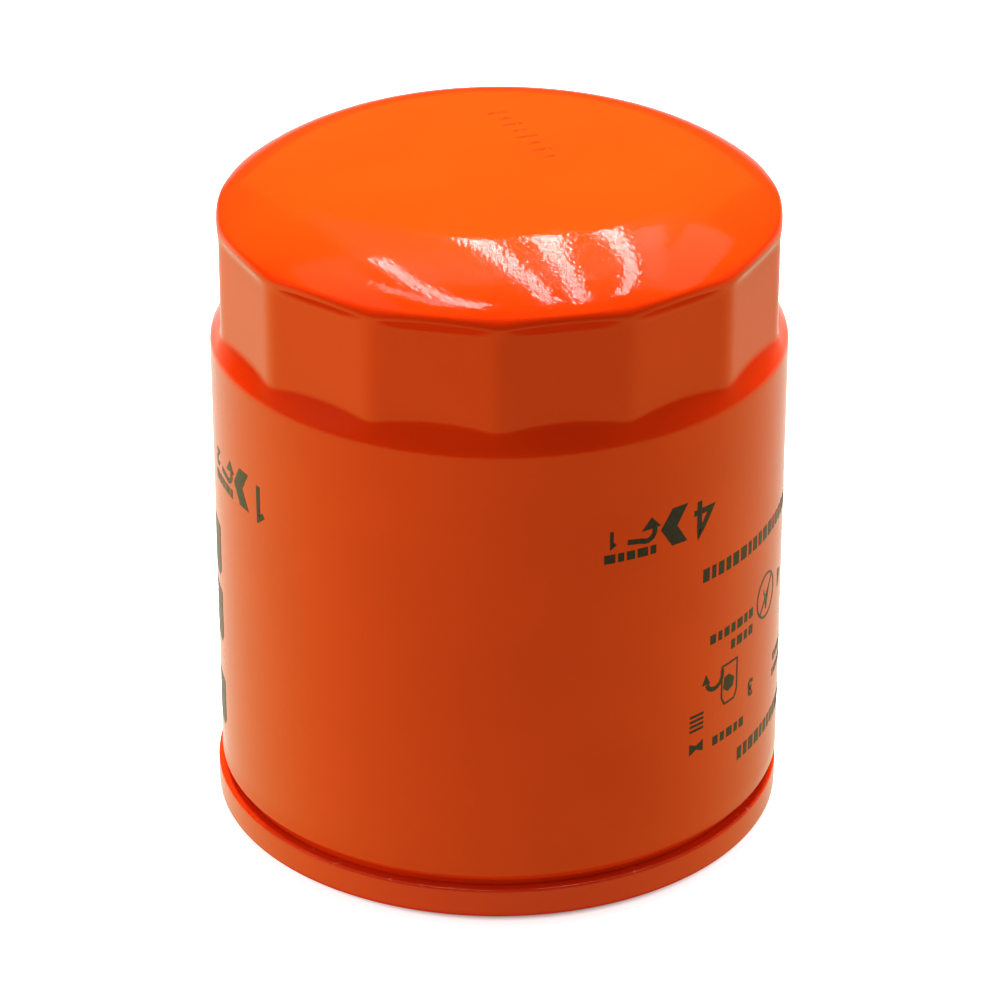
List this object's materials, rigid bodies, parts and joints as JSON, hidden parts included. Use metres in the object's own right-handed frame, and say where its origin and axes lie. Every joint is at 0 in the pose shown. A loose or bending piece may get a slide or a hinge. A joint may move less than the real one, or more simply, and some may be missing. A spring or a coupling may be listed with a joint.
{
  "type": "spin-on oil filter",
  "caption": "Spin-on engine oil filter: painted steel can with wrench flats under a low dome, seamed gasket end, pleated element and check and bypass valves inside.",
  "frame": {"origin": "on the can's axis at the gasket's sealing face, which is the face it stands on", "axes": "+Z along the can's axis, from the threaded end up to the dome; one corner between two wrench flats points to -Y"},
  "size_m": [0.0806, 0.0806, 0.098],
  "materials": {
    "orange_paint": "glossy orange stoved paint over drawn steel",
    "lid_steel": "orange paint on the rolled seam, bare zinc-plated steel inside it",
    "plate_steel": "zinc-plated pressed and machined steel",
    "end_cap_steel": "bright tinned sheet steel",
    "spring_steel": "dark oil-tempered spring steel",
    "gasket_rubber": "satin black nitrile",
    "valve_rubber": "matte red-brown silicone",
    "seam_compound": "matte grey sealing compound",
    "potting_adhesive": "semi-gloss cured plastisol",
    "filter_paper": "matte resin-impregnated cellulose",
    "print_ink": "thin dark grey printing ink on the can"
  },
  "bodies": {
    "canister": {"can": "orange_paint", "seaming_lid": "lid_steel", "seam_compound": "seam_compound", "thread_plate": "plate_steel", "sealing_gasket": "gasket_rubber", "drainback_collar": "valve_rubber", "bottom_end_cap": "end_cap_steel", "bottom_potting": "potting_adhesive", "pleated_media": "filter_paper", "media_seam_clip": "end_cap_steel", "center_tube": "end_cap_steel", "top_potting": "potting_adhesive", "top_end_cap": "end_cap_steel", "bypass_cage": "end_cap_steel", "bypass_seat": "plate_steel", "bypass_spring": "spring_steel", "load_spring": "spring_steel"},
    "bypass_valve": {"bypass_poppet": "plate_steel", "bypass_stem": "plate_steel", "bypass_seal": "gasket_rubber"},
    "drainback_valve": {"drainback_flap": "valve_rubber"}
  },
  "joints": [
    {"name": "bypass_open", "type": "slide", "parent": "canister", "child": "bypass_valve", "axis": [0, 0, -1], "range_m": [0, 0.003], "stiffness_N_per_m": 2500, "springref_m": -0.004, "deforming": ["bypass_spring"]},
    {"name": "drainback_open", "type": "slide", "parent": "canister", "child": "drainback_valve", "axis": [0, 0, 1], "range_m": [0, 0.0015], "stiffness_N_per_m": 200, "springref_m": -0.001}
  ]
}
